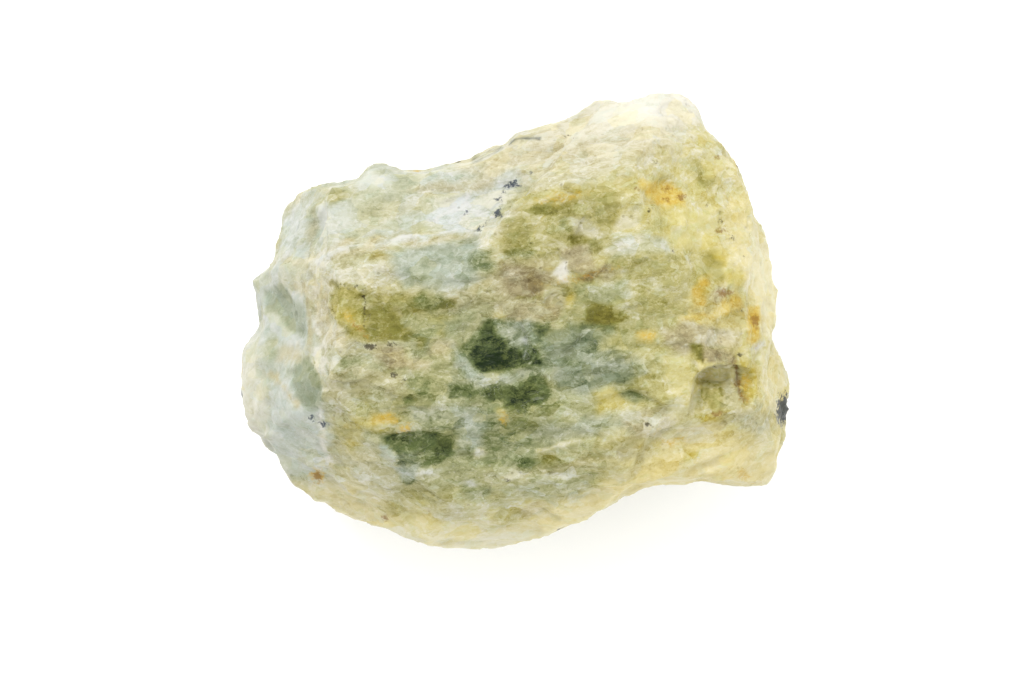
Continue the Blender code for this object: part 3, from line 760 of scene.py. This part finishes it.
def paintStone(mesh, broadNormals):
    # what the material reads, the four tones of each point, and how far it is lifted or softened
    points = readVectors(mesh.vertices, "co") / mm
    grain = grainFrame(points)

    def pulled(name, start):
        size = featureWarp[name]["size"]
        return featureWarp[name]["pull"] * noiseAt(grain, size * stretch, size, start)

    warp = np.column_stack([pulled("wide", start) for start in noiseStart["wide"]])
    warp += np.column_stack([pulled("fine", start) for start in noiseStart["fine"]])
    ragged = pulled("ragged", noiseStart["ragged"])
    pixels = toPhoto(points)

    def overRim(name):
        low, high = viewRange[name]
        return smoothStep(stoneShape["rimHeight"] + low, stoneShape["rimHeight"] + high, points[:, 2])

    seen = overRim("seen")
    above = overRim("above")
    steep = 1.0 - smoothStep(*viewRange["upright"], broadNormals[:, 2])

    # first the whole stone by noise, which is all that the underside gets
    tones = np.tile(hues["warm"][:, None, :], (1, len(points), 1))
    swing = noiseAt(grain, *hiddenLook["levelSize"], noiseStart["level"])
    level = hiddenLook["level"] + hiddenLook["swing"] * swing
    for name, start in zip(hiddenLook["hues"], noiseStart["hues"]):
        share = smoothStep(*hiddenLook["hueEdge"], noiseAt(grain, *hiddenLook["hueSize"], start))
        share = share * (1.0 - hiddenLook["seenLoss"] * seen)
        tones += (hues[name][:, None, :] - tones) * share[None, :, None]
    smooth = np.zeros(len(points))
    lift = np.zeros(len(points))
    soften = np.zeros(len(points))

    # then what the photograph shows, seen from above. On steep sides its wide zones are weaker and its small
    # shapes are left out, because they would be drawn out into stripes
    for feature in features:
        soft = feature["soft"]
        pull = min(1.0, soft / featureWarp["fullSoft"])
        inside = shapeDistance(pixels + warp * pull, feature) + ragged * pull
        share = smoothStep(-soft, soft, inside) * feature.get("amount", 1.0) * seen
        loss = viewRange["wideLoss"] if soft >= viewRange["wideSoft"] else 1.0 - feature.get("onSides", 0.0)
        share *= 1.0 - steep * loss
        tones += (hues[feature["hue"]][:, None, :] - tones) * share[None, :, None]
        level += (feature["level"] - level) * share
        smooth += (feature.get("smooth", 0.0) - smooth) * share
        if "soften" in feature:
            edge = viewRange["softenEdge"]
            soften = np.maximum(soften, smoothStep(-edge, edge, inside) * feature["soften"])
        if "lift" in feature:
            edge = viewRange["liftEdge"]
            lift += (feature["lift"] - lift) * smoothStep(-edge, edge, inside) * seen * (1.0 - steep)

    masks = {"level": level, "smooth": smooth}
    facing = seen * (1.0 - steep)
    for (name, shapes), start in zip(marks.items(), noiseStart["marks"]):
        scatter = noiseAt(grain, *hiddenLook["markSize"], start)
        hidden = scatter * hiddenLook["markSwing"] + hiddenLook["markShift"]
        distance = hidden * (1.0 - facing) - markReach * facing
        for shape in shapes:
            inside = shapeDistance(pixels + warp * featureWarp["marks"], shape)
            shown = above if shape.get("onSides") else facing
            distance = np.maximum(distance, np.where(shown > 0.5, inside, -markReach))
        masks[name] = np.clip(distance, -markReach, markReach)
    # painted glow: the rim mask makes steep and downward facing sides paler, as if light came through the
    # thin stone
    masks["rim"] = 1.0 - smoothStep(0.0, rimGlowEdge, broadNormals[:, 2])
    return masks, tones, {"lift": lift, "soften": soften, "steep": steep}


def storeOn(mesh, name, values, kind="FLOAT", key="value"):
    layer = mesh.attributes.new(name, kind, "POINT")
    layer.data.foreach_set(key, values.astype(np.float32).ravel())


# The stone's material

toneNames = ("veilTone", "paleTone", "middleTone", "clearTone")
toneLevels = (0.0, 0.35, 0.65, 1.0)

# How strong each part of the texture is, in levels, and what it is made of. Stretches are along and across
# the fibres. Each noise has its cycles in a millimetre, detail, roughness and distortion. Sheets and bays
# have their cycles, the noise where the edge lies, the width in which they fade and their strength, and share
# one detail and roughness
stoneLook = {
    "patches": 0.26,
    "fibres": 0.12,
    "grit": 0.18,
    "facets": 0.13,
    "smallFacets": 0.12,
    "facetGrade": 0.2,
    "smallGrade": 0.5,
    "paleFlecks": 0.1,
    "paleEdge": (0.55, 0.62),
    "darkFlecks": 0.1,
    "darkEdge": (0.58, 0.66),
    # painted glow: how far the rim mask takes steep sides toward the white veil
    "rimGlowLevel": -0.08,
    "smoothShare": 0.35,
    "sheets": ((0.45, 0.52, 0.10, 0.12), (1.1, 0.53, 0.09, 0.10), (2.6, 0.55, 0.08, 0.06)),
    "sheetCurl": 0.8,
    "bays": ((0.8, 0.53, 0.09, 0.10), (1.9, 0.54, 0.08, 0.10)),
    "bayCurl": 0.3,
    "tornEdge": 0.014,
    "tornNoise": (6.0, 0.62),
    "wisps": 0.22,
    "wispWidth": 0.018,
    "wispPlaces": (0.48, 0.6),
    "fibreStretch": (0.3, 1.0),
    "flakeStretch": (0.72, 1.05),
    "evenStretch": (1.0, 1.0),
    "facetScale": 0.9,
    "smallScale": 2.4,
    "cellPush": 0.9,
    "noises": {
        "patches": (0.8, 4.0, 0.6, 0.7),
        "fibres": (2.4, 7.0, 0.62, 0.9),
        "grit": (5.0, 5.0, 0.6, 0.5),
        "pale": (3.0, 4.0, 0.6, 1.2),
        "dark": (2.2, 4.0, 0.65, 1.0),
        "push": (1.1, 2.0, 0.5),
        "curls": (0.8, 5.0, 0.6, 2.0),
        "somewhere": (0.7, 3.0),
    },
    "brightGrains": {"strength": 0.3, "scale": 3.2, "size": 0.3, "rare": 0.74},
    "darkGrains": {"strength": 0.35, "scale": 2.3, "size": 0.26, "rare": 0.86},
    "warmTint": (1.03, 1.0, 0.86, 1.0),
    "coolTint": (0.95, 1.0, 1.02, 1.0),
    "roughness": (0.5, 0.2),
    "ior": 1.74,
    "sheen": 0.06,
    "subsurface": 0.2,
    "scatter": 0.0005,
    "scatterRadius": (1.0, 1.0, 0.7),
    "bump": (0.1, 0.35),
    "bumpHeight": 0.0005,
}

# Each kind of mark: its colour, the softness of its edge and the noise in it in pixels, and its strength.
# Gold has a speckle in its place: the grit's range, and the strengths at the range's two ends
markLooks = {
    "gold": {"color": (226, 188, 70), "soft": 4.0, "ragged": 11.0, "speckle": (0.36, 0.62, 0.35, 0.75)},
    "rust": {"color": (148, 104, 44), "soft": 1.8, "ragged": 8.0, "strength": 0.7},
    "umber": {"color": (58, 48, 28), "soft": 1.2, "ragged": 7.0, "strength": 0.8},
    "ink": {"color": (32, 52, 80), "soft": 1.2, "ragged": 8.0, "strength": 0.85},
}


def addNode(tree, kind, inputs=None, **settings):
    # an input is found by its name or number, and gets a link or a value
    node = tree.nodes.new(kind)
    for key, value in settings.items():
        setattr(node, key, value)
    for key, value in (inputs or {}).items():
        if isinstance(value, bpy.types.NodeSocket):
            tree.links.new(value, node.inputs[key])
        else:
            node.inputs[key].default_value = value
    return node


def mathNode(tree, operation, first, second=0.0):
    return addNode(tree, "ShaderNodeMath", {0: first, 1: second}, operation=operation).outputs[0]


def vectorNode(tree, operation, first, second):
    return addNode(tree, "ShaderNodeVectorMath", {0: first, 1: second}, operation=operation).outputs


def mixNode(tree, share, first, second, blend="MIX"):
    inputs = {0: share, 6: first, 7: second}
    return addNode(tree, "ShaderNodeMix", inputs, data_type="RGBA", blend_type=blend).outputs[2]


def rangeNode(tree, value, low, high, toLow=0.0, toHigh=1.0, steps="SMOOTHSTEP"):
    inputs = {"Value": value, "From Min": low, "From Max": high, "To Min": toLow, "To Max": toHigh}
    return addNode(tree, "ShaderNodeMapRange", inputs, interpolation_type=steps).outputs["Result"]


def noiseNode(tree, vector, scale, detail=4.0, roughness=0.55, distortion=0.0):
    inputs = {"Vector": vector, "Scale": scale, "Detail": detail, "Roughness": roughness}
    return addNode(tree, "ShaderNodeTexNoise", {**inputs, "Distortion": distortion}).outputs


def grainCoordinates(tree, alongScale, acrossScale):
    # object coordinates in mm, turned to the fibres and stretched along them
    turn = (0.0, 0.0, -math.radians(grainAngle))
    place = addNode(tree, "ShaderNodeTexCoord").outputs["Object"]
    inputs = {"Vector": place, "Rotation": turn, "Scale": (1.0 / mm, 1.0 / mm, 1.0 / mm)}
    turned = addNode(tree, "ShaderNodeMapping", inputs, vector_type="POINT").outputs["Vector"]
    inputs = {"Vector": turned, "Scale": (alongScale, acrossScale, acrossScale)}
    return addNode(tree, "ShaderNodeMapping", inputs, vector_type="POINT").outputs["Vector"]


def cellNodes(tree, vector, scale):
    # cells, and the shades that each of them has to itself
    cells = addNode(tree, "ShaderNodeTexVoronoi", {"Vector": vector, "Scale": scale}, feature="F1").outputs
    return cells, addNode(tree, "ShaderNodeSeparateColor", {0: cells["Color"]}).outputs


def facetNodes(tree, vector, scale):
    # crystal facets: each cell has a shade, a second shade and a tilt of its own
    cells, shades = cellNodes(tree, vector, scale)
    tilt = vectorNode(tree, "SUBTRACT", cells["Color"], (0.5, 0.5, 0.5))[0]
    away = vectorNode(tree, "SUBTRACT", vector, cells["Position"])[0]
    return shades[0], shades[1], vectorNode(tree, "DOT_PRODUCT", tilt, away)["Value"]


def stoneMaterial():
    material = bpy.data.materials.new("cloudyChrysoberyl")
    material.use_nodes = True
    tree = material.node_tree
    shader = tree.nodes["Principled BSDF"]
    look = stoneLook
    fibreVector = grainCoordinates(tree, *look["fibreStretch"])
    flakeVector = grainCoordinates(tree, *look["flakeStretch"])
    evenVector = grainCoordinates(tree, *look["evenStretch"])

    def painted(name, output="Fac"):
        return addNode(tree, "ShaderNodeAttribute", attribute_name=name).outputs[output]

    def noiseOf(name, vector=flakeVector, output="Fac"):
        return noiseNode(tree, vector, *look["noises"][name])[output]

    def product(first, second):
        return mathNode(tree, "MULTIPLY", first, second)

    def signed(value, amount):
        return product(mathNode(tree, "SUBTRACT", value, 0.5), amount)

    def added(*values):
        total = values[0]
        for value in values[1:]:
            total = mathNode(tree, "ADD", total, value)
        return total

    patches = noiseOf("patches")
    fibres = noiseOf("fibres", fibreVector)
    grit = noiseOf("grit", evenVector)
    pale = rangeNode(tree, noiseOf("pale"), *look["paleEdge"])
    dark = rangeNode(tree, noiseOf("dark"), *look["darkEdge"])

    # the cells' edges are made ragged by noise before the cells are laid out
    push = {0: noiseOf("push", output="Color"), "Scale": look["cellPush"]}
    pushed = addNode(tree, "ShaderNodeVectorMath", push, operation="SCALE").outputs[0]
    warped = vectorNode(tree, "ADD", flakeVector, pushed)[0]
    facetShade, facetTint, facetHeight = facetNodes(tree, warped, look["facetScale"])
    smallShade, smallTint, smallHeight = facetNodes(tree, warped, look["smallScale"])

    # thin curled white lines lie where warped noise passes its middle, and only here and there
    ridge = mathNode(tree, "ABSOLUTE", mathNode(tree, "SUBTRACT", noiseOf("curls"), 0.5))
    somewhere = rangeNode(tree, noiseOf("somewhere"), *look["wispPlaces"])
    busy = mathNode(tree, "SUBTRACT", 1.0, painted("smooth"))
    wisps = product(rangeNode(tree, ridge, 0.0, look["wispWidth"], 1.0, 0.0), somewhere)
    wisps = product(wisps, busy)

    # torn sheets are crisp along one edge and fade away from it: white ones, and bays of clear stone
    def torn(scale, edge, fade, amount, curl):
        field = noiseNode(tree, flakeVector, scale, *look["tornNoise"], curl)["Fac"]
        crisp = rangeNode(tree, field, edge, edge + look["tornEdge"])
        return product(crisp, rangeNode(tree, field, edge, edge + fade, amount, 0.0))

    sheets = added(*(torn(*sheet, look["sheetCurl"]) for sheet in look["sheets"]))
    bays = added(*(torn(*bay, look["bayCurl"]) for bay in look["bays"]))

    texture = added(
        signed(patches, look["patches"]),
        signed(fibres, look["fibres"]),
        signed(grit, look["grit"]),
        signed(facetShade, look["facets"]),
        signed(smallShade, look["smallFacets"]),
        product(facetHeight, look["facetGrade"]),
        product(smallHeight, look["smallGrade"]),
        product(sheets, -1.0),
        bays,
        product(pale, -look["paleFlecks"]),
        product(dark, look["darkFlecks"]),
    )
    texture = product(texture, rangeNode(tree, busy, 0.0, 1.0, look["smoothShare"], 1.0))
    # the rim mask takes steep sides toward the white veil, a painted glow
    level = added(painted("level"), texture, product(painted("rim"), look["rimGlowLevel"]))

    color = painted(toneNames[0], "Color")
    for name, low, high in zip(toneNames[1:], toneLevels, toneLevels[1:]):
        share = rangeNode(tree, level, low, high, steps="LINEAR")
        color = mixNode(tree, share, color, painted(name, "Color"))
    color = mixNode(tree, rangeNode(tree, facetTint, 0.4, 1.0), color, look["warmTint"], "MULTIPLY")
    coolShare = rangeNode(tree, smallTint, 0.5, 1.0, 0.0, 0.8)
    color = mixNode(tree, coolShare, color, look["coolTint"], "MULTIPLY")
    color = mixNode(tree, product(wisps, look["wisps"]), color, painted(toneNames[0], "Color"))

    # single small grains, bright ones only where the stone is cloudy
    def grains(strength, scale, size, rare, where):
        cells, shades = cellNodes(tree, evenVector, scale)
        near = rangeNode(tree, cells["Distance"], size, size * 0.4)
        chosen = product(near, rangeNode(tree, shades[0], rare, rare + 0.04))
        return product(product(chosen, where), strength)

    cloudy = product(busy, rangeNode(tree, level, 0.4, 0.65, 1.0, 0.0))
    brightShare = grains(**look["brightGrains"], where=cloudy)
    color = mixNode(tree, brightShare, color, painted(toneNames[0], "Color"))
    darkShare = grains(**look["darkGrains"], where=busy)
    color = mixNode(tree, darkShare, color, painted(toneNames[3], "Color"))

    # a mark's distance in pixels has its edge broken up by the patches and the grit
    for name, mark in markLooks.items():
        ragged = mark["ragged"]
        edge = added(painted(name), signed(patches, ragged), signed(grit, ragged * 1.5))
        strength = rangeNode(tree, grit, *mark["speckle"]) if "speckle" in mark else mark["strength"]
        share = product(rangeNode(tree, edge, -mark["soft"], mark["soft"]), strength)
        color = mixNode(tree, share, color, seenColor(*mark["color"]))
    tree.links.new(color, shader.inputs["Base Color"])

    # clear stone shines more than cloudy stone
    gloss = added(level, signed(smallTint, 0.6))
    tree.links.new(rangeNode(tree, gloss, 0.1, 0.9, *look["roughness"]), shader.inputs["Roughness"])
    shader.inputs["IOR"].default_value = look["ior"]
    shader.inputs["Specular IOR Level"].default_value = look["sheen"]
    shader.inputs["Subsurface Weight"].default_value = look["subsurface"]
    shader.inputs["Subsurface Radius"].default_value = look["scatterRadius"]
    shader.inputs["Subsurface Scale"].default_value = look["scatter"]

    height = added(
        fibres,
        product(grit, 0.35),
        product(patches, 0.8),
        product(facetHeight, 0.6),
        product(smallHeight, 0.6),
        product(sheets, 0.5),
        product(bays, -0.5),
    )
    bumpShare = rangeNode(tree, busy, 0.0, 1.0, *look["bump"])
    bump = {"Strength": bumpShare, "Distance": look["bumpHeight"], "Height": height}
    tree.links.new(addNode(tree, "ShaderNodeBump", bump).outputs["Normal"], shader.inputs["Normal"])
    return material


def makeStone():
    mesh = evenMesh(stoneShape["smoothing"])
    # the same mesh made very smooth says which way the stone faces as a whole
    broad = evenMesh(stoneShape["broadSmoothing"])
    masks, tones, form = paintStone(mesh, readVectors(broad.vertex_normals, "vector"))
    broadPoints = readVectors(broad.vertices, "co") / mm
    shapeStone(mesh, broadPoints, np.clip(masks["level"] + masks["smooth"], 0.0, 1.0), form)
    for name, values in masks.items():
        storeOn(mesh, name, values)
    for name, values in zip(toneNames, tones):
        storeOn(mesh, name, values, "FLOAT_COLOR", "color")
    mesh.name = "stone"
    stone = bpy.data.objects.new("stone", mesh)
    bpy.context.collection.objects.link(stone)
    mesh.materials.clear()
    mesh.materials.append(stoneMaterial())
    for polygon in mesh.polygons:
        polygon.use_smooth = True
    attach(stone, "root")
    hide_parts("chrysoberyl")
    print("stone made:", len(mesh.polygons) * 2, "triangles")


makeStone()
